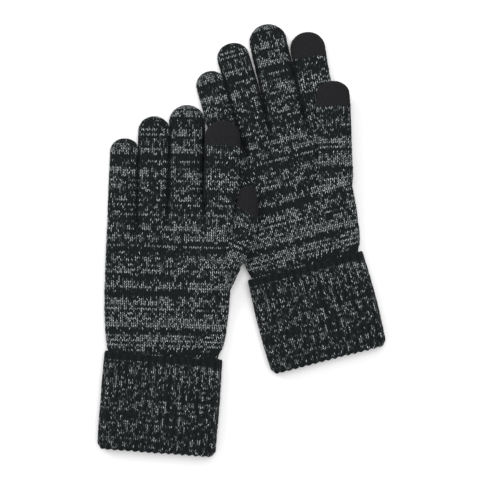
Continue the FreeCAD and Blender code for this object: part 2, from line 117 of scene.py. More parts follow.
# finger: length from its root, distance of its bend, lean towards the thumb, width at root and near the tip
REACH = {
    "left": {"pinky": (58.5, 31, 0.3, 20.6, 20.0), "ring": (68.6, 40, -0.3, 22.0, 22.2),
             "middle": (70.7, 40, -0.5, 25.6, 24.8), "index": (56.7, 29, 0.8, 22.8, 24.4)},
    "right": {"pinky": (55.9, 35, -1.2, 20.6, 20.2), "ring": (65.5, 39, -1.9, 22.2, 22.4),
              "middle": (65.7, 38, 1.2, 26.0, 25.4), "index": (50.8, 19.4, 4.6, 24.0, 24.6)},
}
# spans over which the left palm climbs onto the right glove
CLIMB_Y = (24.0, 70.0)
CLIMB_X = (14.0, 34.0)

# ---- Shape of the fabric ----
WRIST_THICK = 7.0  # the palm is thinner where it comes out of the cuff
WRIST_SPAN = (-2.0, 14.0)
CUFF_STEP = 20.0  # length over which the cuff's height passes into the palm's
GATHER_FROM = 45.0  # from here on the stitch columns draw towards the fingers
VALLEY_DEPTH = 3.4  # the valleys in the palm at the gaps between the fingers
VALLEY_LENGTH, VALLEY_WIDTH = 26.0, 3.0
VALLEY_POWER = 1.5  # how quickly the shade in a valley deepens
RIDGE_HEIGHT = 0.5  # the swelling on each side of a valley
RIDGE_AWAY, RIDGE_WIDTH = 9.0, 5.0
UPPER_FROM = 3.0  # height over the middle from which fabric wholly counts as the upper face
CROWN = 2.4  # the bulge of a thumb's upper face
CROWN_LEVEL = 0.55  # share of a bulge that sinks into the sides
CROWN_FULL = 9.0  # half width from which a bulge is full
FINGER_BULGE = 1.4  # the same for a finger, whose sides fall away more
SHOULDER_POWER = 2.3  # how late a finger's sides fall away
FINGER_TAPER = 0.08  # how much thinner a finger is at its tip, as a share
FULLEST = 0.98  # half thickness is at most this share of half width
TIP_SHARE = 0.92  # a fingertip's depth as a share of its half width
TIP_STOP = 0.03  # the last ring ends this angle short of the very tip
TIP_POWER = 0.5  # how a tip's thickness and relief go down with its width
TURN_BEFORE, TURN_AFTER = 6.0, 14.0  # a finger turns to its own line between these places
OPEN_BEFORE, OPEN_AFTER = 2.0, 8.0  # neighbours part between these distances from the crotch
FOLD_SIDES = (0.72, 0.97)  # share of the half width over which the shade at a side deepens
FOLD_ENDS = (20.0, 6.0)  # distances from the tip over which it goes away
NORMALS_FREE = 3  # a finger's normals are its own once it is a third open
HIDDEN_UNTIL = 0.02  # side walls between joined fingers show once they are this far open

GLOVES = ("left", "right")
JOINTS = {joint["name"]: joint for joint in frame["joints"]}


# ---- Small mathematics ----

def smooth(place, start, end):
    share = np.clip((place - start) / (end - start), 0, 1)
    return share * share * (3 - 2 * share)


def curve_through(table, places):
    """Smooth values between the rows of a table whose first column is the place (cubic)."""
    keys, rows = table[:, 0], table[:, 1:]
    steps = np.diff(keys)[:, None]
    slopes = np.diff(rows, axis=0) / steps
    tangents = np.vstack([slopes[:1], (slopes[:-1] + slopes[1:]) / 2, slopes[-1:]])
    spot = np.clip(np.searchsorted(keys, places, side="right") - 1, 0, len(keys) - 2)
    step = np.diff(keys)[spot][:, None]
    share = np.clip((places - keys[spot])[:, None] / step, 0, 1)
    start, end = rows[spot], rows[spot + 1]
    h00 = 2 * share**3 - 3 * share**2 + 1
    h10 = share**3 - 2 * share**2 + share
    h01 = 3 * share**2 - 2 * share**3
    h11 = share**3 - share**2
    return h00 * start + h10 * step * tangents[spot] + h01 * end + h11 * step * tangents[spot + 1]


def lattice_noise(points, scale, seed):
    """Smooth random values between -1 and 1 at 3-D points, the same on every run."""
    rng = np.random.default_rng(seed)
    table = rng.uniform(-1, 1, TABLE_SIZE)
    where = points / scale + LATTICE_SHIFT
    base = np.floor(where).astype(int)
    part = where - base
    part = part * part * (3 - 2 * part)
    total = np.zeros(points.shape[:-1])
    for step in np.ndindex(2, 2, 2):
        corner = (base + np.array(step)) * np.array(PRIMES_3D)
        key = (corner[..., 0] ^ corner[..., 1] ^ corner[..., 2]) % TABLE_SIZE
        total += np.where(step, part, 1 - part).prod(axis=-1) * table[key]
    return total


# ---- Where each glove lies ----

def turn_matrix(degrees):
    turn = math.radians(degrees)
    return np.array([[math.cos(turn), -math.sin(turn), 0], [math.sin(turn), math.cos(turn), 0], [0, 0, 1]])


def glove_place(glove):
    """The glove's turn and origin, found from its middle finger's bend in the frame."""
    joint = JOINTS[f"{glove}_middle_bend"]
    _, bend, lean, _, _ = REACH[glove]["middle"]
    turn = math.degrees(math.atan2(joint["axis"][1], joint["axis"][0])) + lean
    root_x, root_y = ROOTS["middle"]
    along = math.radians(lean)
    local = np.array([root_x + bend * math.sin(along), root_y + bend * math.cos(along), 0])
    origin = np.array(joint["pos_m"]) / MM
    origin[2] = 0
    return turn, origin - turn_matrix(turn) @ local


def cuff_place(glove):
    """The cuff hangs from the same origin in its own direction."""
    down = JOINTS[f"{glove}_cuff_unroll"]["axis"]
    return math.degrees(math.atan2(down[0], -down[1])), glove_place(glove)[1]


PLACES = {}
for side in GLOVES:
    PLACES[side] = glove_place(side)
    PLACES[f"{side}_cuff"] = cuff_place(side)


def to_world(place, points):
    turn, origin = PLACES[place]
    return (points @ turn_matrix(turn).T + origin) * MM


# ---- Knit relief ----

def yarn_jitter(wales, courses, seed):
    """How unevenly each stitch is drawn, from 0 to 1, the same for all points of a stitch."""
    column, row = np.floor(wales * 2).astype(int), np.floor(courses).astype(int)
    rng = np.random.default_rng(seed)
    table = rng.uniform(0, 1, TABLE_SIZE)
    return table[(column * PRIMES_2D[0] ^ row * PRIMES_2D[1]) % TABLE_SIZE]


def stitches(leg_turn, row, jitter, uneven, row_depth):
    """Height of stitches as a share: a leg for each half turn, and a dip between rows."""
    legs = np.abs(np.sin(leg_turn)) ** LEG_POWER
    rows = 1 - row_depth + row_depth * np.abs(np.sin(math.pi * row)) ** ROW_POWER
    return (1 - uneven / 2 + uneven * jitter) * legs * rows


def stockinette(wales, courses):
    """Height of smooth knit: two slanted legs to a stitch, stacked as rows of V's."""
    across = wales - np.floor(wales)
    row = courses - STITCH_RISE * np.abs(2 * across - 1)
    jitter = yarn_jitter(wales, row, STITCH_SEED)
    height = stitches(2 * math.pi * across, row, jitter, STITCH_UNEVEN, STITCH_ROW_DEPTH)
    return STITCH_RELIEF * height - STITCH_SINK


def rib_relief(ribs, courses):
    """Height of one-by-one rib: a raised column of V's and a sunken one in each pitch."""
    across = np.abs(ribs - np.floor(ribs) - 0.5)
    column = np.exp(-(across / RIB_WIDTH) ** 2)
    row = courses - RIB_RISE * np.minimum(across, 0.5 - across)
    jitter = yarn_jitter(ribs * 2, row, RIB_SEED)
    height = stitches(4 * math.pi * ribs, row, jitter, RIB_UNEVEN, RIB_ROW_DEPTH)
    return RIB_HEIGHT * column + RIB_RELIEF * height * (1 + column) / 2 - RIB_SINK


# ---- Mesh building ----

def surface_normals(grid):
    """Outward unit normals of a tube's grid of points, rows along the tube and columns around it."""
    around = np.roll(grid, -1, axis=1) - np.roll(grid, 1, axis=1)
    along = np.gradient(grid, axis=0)
    normal = np.cross(around, along)
    length = np.linalg.norm(normal, axis=2, keepdims=True)
    return normal / np.maximum(length, 1e-9)


def grid_object(name, points, wales, courses, crease, cap, skip):
    """A closed tube's mesh from rings of world points, its stitch coordinates in the UV map 'knit'.

    crease says how deep in a fold between two fingers each point lies, from 0 to 1, and sets the painted
    shade there. skip marks faces to leave out, and cap closes the last ring with a fan.
    """
    rows, columns, _ = points.shape
    vertices = points.reshape(-1, 3)
    row, column = np.meshgrid(np.arange(rows - 1), np.arange(columns), indexing="ij")
    if skip is not None:
        row, column = row[~skip], column[~skip]
    following = (column + 1) % columns
    quads = np.stack([row * columns + column, row * columns + following,
                      (row + 1) * columns + following, (row + 1) * columns + column], axis=-1).reshape(-1, 4)
    step = wales[0, 1] - wales[0, 0]
    u_here = wales[row, column]
    v_here, v_above = courses[row, column], courses[row + 1, column]
    corners = ((u_here, v_here), (u_here + step, v_here), (u_here + step, v_above), (u_here, v_above))
    uv = np.stack([np.stack(corner, -1) for corner in corners], axis=-2).reshape(-1, 2)
    loops = quads.reshape(-1)
    starts = np.arange(len(quads)) * 4
    if cap:
        ring = (rows - 1) * columns + np.arange(columns)
        fan = np.stack([ring, np.roll(ring, -1), np.full(columns, len(vertices))], axis=-1)
        vertices = np.vstack([vertices, points[-1].mean(axis=0)])
        crease = np.append(crease, 0.0)
        starts = np.concatenate([starts, len(loops) + np.arange(columns) * 3])
        loops = np.concatenate([loops, fan.reshape(-1)])
        corner = np.stack([wales[-1], courses[-1]], -1)
        uv = np.concatenate([uv, np.stack([corner] * 3, axis=1).reshape(-1, 2)])
    mesh = bpy.data.meshes.new(name)
    mesh.vertices.add(len(vertices))
    mesh.vertices.foreach_set("co", vertices.astype(np.float32).ravel())
    mesh.loops.add(len(loops))
    mesh.loops.foreach_set("vertex_index", loops.astype(np.int32))
    mesh.polygons.add(len(starts))
    mesh.polygons.foreach_set("loop_start", starts.astype(np.int32))
    mesh.update(calc_edges=True)
    layer = mesh.uv_layers.new(name="knit")
    layer.data.foreach_set("uv", uv.astype(np.float32).ravel())
    folds = mesh.attributes.new("crease", "FLOAT", "POINT")
    folds.data.foreach_set("value", crease.astype(np.float32).ravel())
    mesh.polygons.foreach_set("use_smooth", np.ones(len(starts), bool))
    mesh.validate()
    piece = bpy.data.objects.new(name, mesh)
    bpy.context.scene.collection.objects.link(piece)
    return piece


def knit_piece(name, place, grid, normal, height, wales, courses, material, cap=False, skip=None,
               crease=None):
    """The object for part of a knitted tube: a smooth grid raised along its normals by the stitches."""
    if crease is None:
        crease = np.zeros(grid.shape[:2])
    points = grid + normal * height[..., None]
    points[..., 2] = np.maximum(points[..., 2], LOWEST)
    piece = grid_object(name, to_world(place, points), wales, courses, crease, cap, skip)
    piece.data.materials.append(material)
    return piece


def soft_noise(grid, amount, seed):
    """A little unevenness of hand-smoothed fabric, larger up from the table than along it."""
    offset = np.zeros_like(grid)
    for axis, share in enumerate(AXIS_SHARES):
        offset[..., axis] = share * (lattice_noise(grid, COARSE, seed + axis)
                                     + FINE_SHARE * lattice_noise(grid, FINE, seed + FINE_SEED + axis))
    return grid + amount * offset


def tube_part(name, glove, tube, first, last, materials, cap, skip=None, crease=None):
    """The piece made of some rows of a finger or thumb: its grid, normals, heights, columns and rows."""
    grid, normal, height, wales, courses = (part[first:last + 1] for part in tube)
    material, slot = materials["knit"], "marled_knit"
    if name.endswith("touch_knit"):
        height = height * TOUCH_RELIEF
        material, slot = materials["touch"], "conductive_knit"
    return knit_piece(name, glove, grid, normal, height, wales, courses, material, cap, skip, crease)


# ---- Sections ----

def stadium(distance, half_wide, half_thick):
    """Points on the upper half of a stadium, by distance from its left end over the top."""
    quarter = half_thick * math.pi / 2
    flat = 2 * (half_wide - half_thick)
    left_angle = np.clip(distance / half_thick, 0, math.pi / 2)
    right_angle = np.clip((distance - quarter - flat) / half_thick, 0, math.pi / 2)
    along = np.clip(distance - quarter, 0, flat)
    x = -half_wide + half_thick * (1 - np.cos(left_angle)) + along + half_thick * np.sin(right_angle)
    z = half_thick * np.where(distance < quarter + flat, np.sin(left_angle), np.cos(right_angle))
    return x, z


def stadium_length(half_wide, half_thick):
    return 2 * (half_wide - half_thick) + math.pi * half_thick


# ---- Palm ----

def palm_middle(glove, x, y):
    """Mid-thickness height of the palm, as the frame has it."""
    height = CUFF_MIDDLE + (PALM_MIDDLE - CUFF_MIDDLE) * smooth(y, 0, CUFF_STEP)
    if glove == "left":
        height = height + STACK * smooth(y, *CLIMB_Y) * smooth(x, *CLIMB_X)
    return height


THUMB_X = 35.0  # middle of the right thumb's root, which its half width goes round
THUMB_HALF = 11.6
THUMB_ROW = 50.0  # where the right thumb leaves the palm
THUMB_RISE = UPPER_MIDDLE + FINGER_MIDDLE - PALM_THICK
WEB_X = (9.0, 24.0)  # the web rises between these
WEB_LEAN = 0.12  # how the first of them moves towards the thumb along the palm
WEB_FROM = 8.0
STEP_X = 23.0  # from here on the rise ends in a step at the thumb's own row
STEP_END = THUMB_ROW + 0.3
WEB_FADES = (46.0, 58.0)
CROWN_GROWS = (25.0, 48.0)


def thumb_bump(x, y):
    """How far the right palm's face stands up to carry the thumb: a web on its left, a step behind it."""
    rise = smooth(y, WEB_FROM, THUMB_ROW - 1)
    web = smooth(x, WEB_X[0] + WEB_LEAN * y, WEB_X[1])
    behind = np.where(x > STEP_X, (y <= STEP_END).astype(float), 1 - smooth(y, *WEB_FADES))
    bulge = np.cos(np.clip((x - THUMB_X) / THUMB_HALF, -1, 1) * math.pi / 2) - CROWN_LEVEL
    return (THUMB_RISE * web + CROWN * bulge * smooth(y, *CROWN_GROWS)) * rise * behind


def palm_wale_distance(wale, y, half_wide, half_thick):
    """Distance over the palm's top of a stitch column: even at the wrist, set by the fingers at the end."""
    total = stadium_length(half_wide, half_thick)
    centre = (GAP_X[0] + GAP_X[-1]) / 2
    gaps = np.array(GAP_X) - centre + half_wide
    gaps = gaps - half_thick + half_thick * math.pi / 2
    gaps[0], gaps[-1] = 0, total
    at_end = np.interp(wale, GAP_WALE, gaps)
    share = smooth(y, GATHER_FROM, PALM_END)
    return (1 - share) * total * wale / PALM_WALES + share * at_end


def palm_grid(glove, ys):
    """Smooth palm surface: rows at ys, columns around from the little finger's side over the top."""
    wale = np.arange(2 * PALM_WALES * PER_WALE) / PER_WALE
    outline = curve_through(PALM_OUTLINE, ys)
    grid = np.zeros((len(ys), len(wale), 3))
    on_top = wale <= PALM_WALES
    folded = np.where(on_top, wale, 2 * PALM_WALES - wale)
    for row, y in enumerate(ys):
        left, right = outline[row]
        half_thick = PALM_THICK / 2 - (PALM_THICK - WRIST_THICK) / 2 * (1 - float(smooth(y, *WRIST_SPAN)))
        half_wide = (right - left) / 2
        distance = palm_wale_distance(folded, y, half_wide, half_thick)
        x, z = stadium(distance, half_wide, half_thick)
        z = np.where(on_top, z, -z)
        x = x + (left + right) / 2
        grid[row, :, 0], grid[row, :, 1], grid[row, :, 2] = x, y, palm_middle(glove, x, y) + z
        if glove == "right":
            grid[row, :, 2] += thumb_bump(x, y) * np.clip((z / half_thick + 1) / 2, 0, 1)
    return grid, wale


def palm_rows():
    count = int(round((PALM_END - PALM_START) / COURSE * PER_COURSE))
    return PALM_END - (count - np.arange(count + 1)) * COURSE / PER_COURSE


def valleys(x, y):
    """Depth of the soft valleys in the fabric that lead down from the gaps between the fingers."""
    depth = np.zeros_like(x)
    for gap_x, crotch in zip(GAP_X[1:-1], GAP_CROTCH[1:-1]):
        strength = smooth(y, crotch - VALLEY_LENGTH, crotch - 1)
        away = np.abs(x - gap_x)
        depth = depth + VALLEY_DEPTH * strength * np.exp(-(away / VALLEY_WIDTH) ** 2)
        depth = depth - RIDGE_HEIGHT * strength * np.exp(-((away - RIDGE_AWAY) / RIDGE_WIDTH) ** 2)
    return depth


def soften(glove, grid, joined=None):
    """The same unevenness for every piece of a glove, so that neighbours still meet.

    joined says how far each point is still part of the palm's fabric, where the valleys run.
    """
    middle = grid[..., 2].mean(axis=1, keepdims=True)
    upper = np.clip((grid[..., 2] - middle) / UPPER_FROM, 0, 1)
    grid = soft_noise(grid, HAND_UNEVEN, HAND_SEED[glove])
    if joined is not None:
        grid[..., 2] -= upper * joined * valleys(grid[..., 0], grid[..., 1])
    return grid


def in_valley(grid):
    """How deep in the palm's valleys each point of its upper face lies, from 0 to 1."""
    upper = grid[..., 2] > grid[..., 2].mean(axis=1, keepdims=True)
    depth = valleys(grid[..., 0], grid[..., 1]) / VALLEY_DEPTH
    return np.clip(depth, 0, 1) ** VALLEY_POWER * upper


def build_palm(glove, material):
    """The palm and the back in one knitted tube."""
    ys = palm_rows()
    grid, wale = palm_grid(glove, ys)
    grid = soften(glove, grid, np.ones(grid.shape[:2]))
    wales = np.broadcast_to(wale, grid.shape[:2])
    courses = np.broadcast_to((ys / COURSE)[:, None], grid.shape[:2])
    # the palm's valleys get painted shade through crease
    piece = knit_piece(f"{glove}_palm_knit", glove, grid, surface_normals(grid), stockinette(wales, courses),
                       wales, courses, material, crease=in_valley(grid))
    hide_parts(f"{glove}_hand")
    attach(piece, f"{glove}_hand")


# ---- Fingers ----

def finger_columns(finger):
    """Stitch columns around a finger: its top, the side towards the thumb, its underside, the other side."""
    top = FINGER_WALES[finger]
    right = 0 if finger == "index" else SIDE_WALES
    left = 0 if finger == "pinky" else SIDE_WALES
    return top, right, top, left


def side_points(start, end, wales):
    """Points between two edges of the fabric, over a side so many stitch columns wide."""
    steps = np.arange(1, wales * PER_WALE)[:, None]
    return start + (end - start) * steps / max(wales * PER_WALE, 1)


def finger_block(glove, finger):
    """Points around the part of the palm's last row that one finger goes on from."""
    top, right, under, left = finger_columns(finger)
    first = GAP_WALE[FINGERS.index(finger)]
    row = palm_grid(glove, np.array([PALM_END]))[0][0]
    per = PER_WALE
    top_part = row[first * per:(first + top) * per + 1]
    low_first = (2 * PALM_WALES - first - top) * per
    low_part = np.take(row, np.arange(low_first, low_first + under * per + 1), axis=0, mode="wrap")
    right_side = side_points(top_part[-1], low_part[0], right)
    left_side = side_points(low_part[-1], top_part[0], left)
    low_part = low_part[0 if right else 1:len(low_part) if left else -1]
    return np.vstack([top_part, right_side, low_part, left_side])


def crown(x, z, half_wide, half_thick):
    """How far a knitted tube's upper face bulges in its middle and falls away to its sides."""
    bulge = np.cos(np.clip(x / half_wide, -1, 1) * math.pi / 2) - CROWN_LEVEL
    return CROWN * bulge * np.clip(z / half_thick, 0, 1) * min(half_wide / CROWN_FULL, 1.0)


def rounded_top(x, half_wide, half_thick):
    """Height of a finger's upper face over its middle, fuller than a flat tube's."""
    share = np.clip(np.abs(x / half_wide), 0, 1)
    bulge = FINGER_BULGE * min(half_wide / CROWN_FULL, 1.0)
    return (half_thick + bulge) * np.sqrt(1 - share ** SHOULDER_POWER)


def tube_ring(count, half_wide, half_thick, shift):
    """A whole stadium by even distances, its start shifted so that the stitch columns run straight on."""
    length = stadium_length(half_wide, half_thick)
    places = (np.arange(count) / count * 2 * length + shift) % (2 * length)
    over = places <= length
    x, z = stadium(np.where(over, places, 2 * length - places), half_wide, half_thick)
    return x, np.where(over, z, -z)


def finger_grid(glove, finger):
    """Smooth finger surface in the glove's frame, from the palm's end to the tip.

    Gives the grid, how far each row has travelled, how much the stitches stand out in it, how far each
    point has come away from the neighbouring fingers (0 where they are still one fabric), and how far
    each lies towards a side that faces a neighbour.
    """
    reach, _, lean, root_wide, tip_wide = REACH[glove][finger]
    lean = math.radians(lean)
    root_x, root_y = ROOTS[finger]
    number = FINGERS.index(finger)
    block = finger_block(glove, finger)
    count = len(block)
    block_x = (GAP_X[number] + GAP_X[number + 1]) / 2
    level = UPPER_MIDDLE if (glove, finger) == ("left", "index") else FINGER_MIDDLE
    tip_y = root_y + reach * math.cos(lean)
    tip_round = tip_wide / 2 * TIP_SHARE
    straight = tip_y - tip_round - PALM_END
    total = straight + tip_round * math.pi / 2
    rows = int(math.ceil(total / COURSE * PER_COURSE))
    travelled = np.linspace(0, total, rows + 1)
    crotches = [GAP_CROTCH[number] or root_y, GAP_CROTCH[number + 1] or root_y]
    across = np.clip((block[:, 0] - GAP_X[number]) / (GAP_X[number + 1] - GAP_X[number]), 0, 1)
    grid = np.zeros((rows + 1, count, 3))
    fade = np.ones(rows + 1)
    opened = np.zeros((rows + 1, count))
    beside = np.zeros((rows + 1, count))
    for row, distance in enumerate(travelled):
        angle = min(max(distance - straight, 0) / tip_round, math.pi / 2 - TIP_STOP)
        y = PALM_END + min(distance, straight) + tip_round * math.sin(angle)
        narrow = math.cos(angle)
        along = (y - PALM_END) / (tip_y - PALM_END)
        turning = float(smooth(y, PALM_END - TURN_BEFORE, root_y + TURN_AFTER))
        bend = lean * turning
        line_x = root_x + (y - root_y) * math.tan(lean)
        centre_x = block_x + (line_x - block_x) * turning
        half_wide = (root_wide + (tip_wide - root_wide) * along) / 2 * narrow
        full_thick = FINGER_MIDDLE * (1.0 - FINGER_TAPER * along)
        half_thick = min(full_thick * narrow ** TIP_POWER, half_wide * FULLEST)
        shift = free_shift(finger, count) * 2 * stadium_length(half_wide, half_thick)
        x, z = tube_ring(count, half_wide, half_thick, shift)
        z = np.where(z > 0, rounded_top(x, half_wide, half_thick), z)
        free = np.stack([centre_x + x * math.cos(bend), y - x * math.sin(bend),
                         level - FINGER_MIDDLE + full_thick + z], axis=-1)
        joined = block.copy()
        joined[:, 0] += centre_x - block_x
        joined[:, 1] = y
        opening = [float(smooth(y, crotch - OPEN_BEFORE, crotch + OPEN_AFTER)) for crotch in crotches]
        opened[row] = opening[0] + (opening[1] - opening[0]) * across
        grid[row] = joined + (free - joined) * opened[row][:, None]
        fade[row] = narrow ** TIP_POWER
        shared = np.where(x < 0, finger != "pinky", finger != "index")
        near_tip = float(smooth(y, tip_y - FOLD_ENDS[0], tip_y - FOLD_ENDS[1]))
        beside[row] = smooth(np.abs(x) / half_wide, *FOLD_SIDES) * shared * (1 - near_tip)
    return grid, travelled, fade, opened, beside


def free_shift(finger, count):
    """Share of the whole way round at which a free finger's first stitch column starts."""
    top, right, _, left = finger_columns(finger)
    around = count / PER_WALE
    if not left:
        return 0.0
    if not right:
        return (around / 2 - top) / around
    return (around / 2 - top) / 2 / around


def on_side_wall(finger, count):
    """Which columns lie on the sides that a finger shares with its neighbours."""
    top, right, under, _ = (part * PER_WALE for part in finger_columns(finger))
    column = np.arange(count)
    return ((column >= top) & (column < top + right)) | (column >= top + right + under)


def finger_normals(grid, opened, wall):
    """Normals that point straight up or down where the finger is still one fabric with its neighbours."""
    normal = surface_normals(grid)
    flat = np.zeros_like(normal)
    flat[..., 2] = np.where(grid[..., 2] > grid[..., 2].mean(axis=1, keepdims=True), 1.0, -1.0)
    flat[:, wall] = 0
    share = np.clip(opened * NORMALS_FREE, 0, 1)[..., None]
    return flat + (normal - flat) * share


def bend_between(piece, glove, line, lower, upper, hinge):
    """Bake a piece's place into its mesh; it is not attached to a body and does not bend."""
    x, y, lean = line
    lean = math.radians(lean)
    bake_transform(piece)


def build_finger(glove, finger, materials):
    """One finger as knitted pieces split at its knuckle where the frame has one, with its conductive tip on
    the index.
    """
    reach, bend, lean, _, _ = REACH[glove][finger]
    root_x, root_y = ROOTS[finger]
    grid, travelled, fade, opened, beside = finger_grid(glove, finger)
    # crease: how deep each point lies in a fold, where the material paints shade
    crease = opened * beside + (1 - opened) * in_valley(grid)
    grid = soften(glove, grid, 1 - opened)
    rows, count, _ = grid.shape
    wall = on_side_wall(finger, count)
    wales = np.broadcast_to(GAP_WALE[FINGERS.index(finger)] + np.arange(count) / PER_WALE, (rows, count))
    courses = np.broadcast_to(((PALM_END + travelled) / COURSE)[:, None], (rows, count))
    height = stockinette(wales, courses) * fade[:, None]
    tube = (grid, finger_normals(grid, opened, wall), height, wales, courses)
    skip = (opened[1:] < HIDDEN_UNTIL) & wall[None, :]

    def row_at(y):
        """The row at a place along the finger, on a boundary between two stitch rows."""
        row = int(round((y - PALM_END) / (travelled[1] - travelled[0])))
        return row // PER_COURSE * PER_COURSE

    name = f"{glove}_{finger}"
    hand, base, end = f"{glove}_hand", f"{name}_base", f"{name}_end"
    seam = row_at(root_y + reach - TOUCH_LONG) if finger == "index" else rows - 1
    if f"{name}_knuckle" in JOINTS:
        middle = row_at(root_y + (KNUCKLE[finger] + bend) / 2)
        runs = [(f"{name}_lower_knit", 0, middle, (hand, base), KNUCKLE[finger], (base,)),
                (f"{name}_upper_knit", middle, seam, (base, end), bend, (end,))]
    else:
        runs = [(f"{name}_knit", 0, seam, (hand, end), bend, (base, end))]
    if finger == "index":
        runs.append((f"{name}_touch_knit", seam, rows - 1, (end,), 0, (f"{name}_touch_tip",)))
    for piece_name, first, last, bodies, hinge, nodes in runs:
        piece = tube_part(piece_name, glove, tube, first, last, materials, last == rows - 1,
                          skip[first:last], crease[first:last + 1])
        if len(bodies) == 1:
            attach(piece, bodies[0])
        else:
            bend_between(piece, glove, (root_x, root_y, lean), *bodies, hinge)
        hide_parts(*nodes)


# ---- Thumbs ----

def middle_places(stations):
    """How far along their middle line pairs of edge points lie."""
    centres = (stations[:, 0:2] + stations[:, 2:4]) / 2
    return np.concatenate([[0], np.cumsum(np.linalg.norm(np.diff(centres, axis=0), axis=1))])


def edge_tube(stations, columns, spacing):
    """A flat tube between pairs of edge points: rows of (left x, y, right x, y, middle height, half thick).

    Gives the grid and how far each row has travelled.
    """
    stations = np.array(stations, float)
    places = middle_places(stations)
    count = int(math.ceil(places[-1] / spacing))
    travelled = np.linspace(0, places[-1], count + 1)
    rows = curve_through(np.column_stack([places, stations]), travelled)
    grid = np.zeros((count + 1, columns, 3))
    for row, (left_x, left_y, right_x, right_y, middle, half_thick) in enumerate(rows):
        across = np.array([right_x - left_x, right_y - left_y])
        half_wide = np.linalg.norm(across) / 2
        across = across / (2 * half_wide)
        half_thick = min(half_thick, half_wide * FULLEST)
        x, z = tube_ring(columns, half_wide, half_thick, 0)
        z = z + crown(x, z, half_wide, half_thick)
        grid[row, :, 0] = (left_x + right_x) / 2 + x * across[0]
        grid[row, :, 1] = (left_y + right_y) / 2 + x * across[1]
        grid[row, :, 2] = middle + z
    return grid, travelled


# Each thumb's own line, its hinge's place on it, and its stitch columns.
RIGHT_THUMB = {"root": (THUMB_X, 51.2), "lean": 12.7, "knuckle": 6.0, "wales": 21, "first_wale": 200}
LEFT_THUMB = {"root": (54.0, 88.0), "lean": 4.9, "knuckle": 0.0, "wales": 16, "first_wale": 300}
THUMB_REACH = 70.8  # length of the right thumb from its root
THUMB_TURNS = (-8.0, 12.0)
TIP_ANGLES = (20, 38, 54, 68, 79, 87)
TIP_FADE, FADE_POWER = 1.3, 0.8  # how a thumb's relief goes down with its girth
LEFT_EDGE_X = 44.0  # where the left thumb takes its height from the palm
LEAVES_PALM = (80.0, 95.0)

# Left and right edge points of the left thumb and its half thickness: it swells out of the palm's edge
# and leans away. Its conductive tip starts at row LEFT_THUMB_SEAM.
LEFT_THUMB_EDGES = (
    (34.0, 50.0, 44.0, 44.0, 3.0), (36.0, 60.0, 48.4, 53.5, 3.5), (38.5, 70.0, 52.6, 63.5, 3.7),
    (41.5, 79.5, 57.0, 72.5, 3.8), (44.6, 88.5, 60.6, 81.5, 3.8), (47.0, 98.0, 62.9, 90.5, 3.8),
    (48.7, 106.7, 63.7, 98.6, 3.7), (49.6, 111.9, 63.9, 105.8, 3.6), (51.2, 116.4, 63.0, 111.8, 3.4),
    (53.6, 119.4, 61.8, 116.2, 3.0), (56.4, 120.6, 60.4, 119.2, 1.8), (58.2, 120.9, 59.0, 120.6, 0.4))
LEFT_THUMB_SEAM = 6


def right_thumb_stations():
    """Edge points of the right thumb: sunk in the palm's rise at first, then straight to a round tip."""
    root_x, root_y = RIGHT_THUMB["root"]
    lean = math.radians(RIGHT_THUMB["lean"])
    half = THUMB_HALF
    tip_round = half * TIP_SHARE
    tip_start = THUMB_REACH - tip_round
    # distance from the root, half width, rise
    runs = [(-8.0, half - 1.2, -1.8), (-4.5, half - 0.4, -0.9), (-2.0, half, 0.3), (20.0, half, 0.0),
            (40.0, half, 0.0), (tip_start, half * 0.985, 0.0)]
    for angle in TIP_ANGLES:
        turn = math.radians(angle)
        runs.append((tip_start + tip_round * math.sin(turn), half * math.cos(turn), 0.0))
    stations = []
    for along, half_wide, rise in runs:
        turned = lean * float(smooth(along, *THUMB_TURNS))
        x, y = root_x + along * math.sin(lean), root_y + along * math.cos(lean)
        side = (half_wide * math.cos(turned), half_wide * math.sin(turned))
        thick = FINGER_MIDDLE * min(1.0, (half_wide / half) ** TIP_POWER)
        stations.append((x - side[0], y + side[1], x + side[0], y - side[1], UPPER_MIDDLE + rise, thick))
    return stations


def left_thumb_stations():
    """Edge points of the left thumb, at the palm's own height while the palm climbs."""
    stations = []
    for left_x, left_y, right_x, right_y, thick in LEFT_THUMB_EDGES:
        y = (left_y + right_y) / 2
        on_palm = 1 - float(smooth(y, *LEAVES_PALM))
        middle = UPPER_MIDDLE + (palm_middle("left", LEFT_EDGE_X, y) - UPPER_MIDDLE) * on_palm
        stations.append((left_x, left_y, right_x, right_y, middle, thick))
    return stations


def build_thumb(glove, materials):
    """The thumb in one knitted tube, and its conductive tip."""
    facts = RIGHT_THUMB if glove == "right" else LEFT_THUMB
    stations = right_thumb_stations() if glove == "right" else left_thumb_stations()
    columns = facts["wales"] * PER_WALE
    grid, travelled = edge_tube(stations, columns, COURSE / PER_COURSE)
    grid = soften(glove, grid)
    rows = len(grid)
    wales = np.broadcast_to(facts["first_wale"] + np.arange(columns) / PER_WALE, (rows, columns))
    courses = np.broadcast_to((travelled / COURSE)[:, None], (rows, columns))
    girth = np.linalg.norm(np.roll(grid, -1, axis=1) - grid, axis=2).sum(axis=1)
    fade = np.clip(girth / girth.max() * TIP_FADE, 0, 1) ** FADE_POWER
    tube = (grid, surface_normals(grid), stockinette(wales, courses) * fade[:, None], wales, courses)
    if glove == "right":
        seam_at = travelled[-1] - TOUCH_LONG
    else:
        seam_at = middle_places(np.array(LEFT_THUMB_EDGES))[LEFT_THUMB_SEAM]
    seam = int(round(seam_at / (travelled[1] - travelled[0]))) // PER_COURSE * PER_COURSE
    body = f"{glove}_thumb"
    for piece_name, first, last in ((f"{body}_knit", 0, seam), (f"{body}_touch_knit", seam, rows - 1)):
        at_tip = last == rows - 1
        piece = tube_part(piece_name, glove, tube, first, last, materials, at_tip)
        if at_tip:
            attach(piece, body)
            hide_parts(f"{body}_touch_tip")
        else:
            line = (*facts["root"], facts["lean"])
            bend_between(piece, glove, line, f"{glove}_hand", body, facts["knuckle"])
            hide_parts(body)


# ---- Cuffs ----

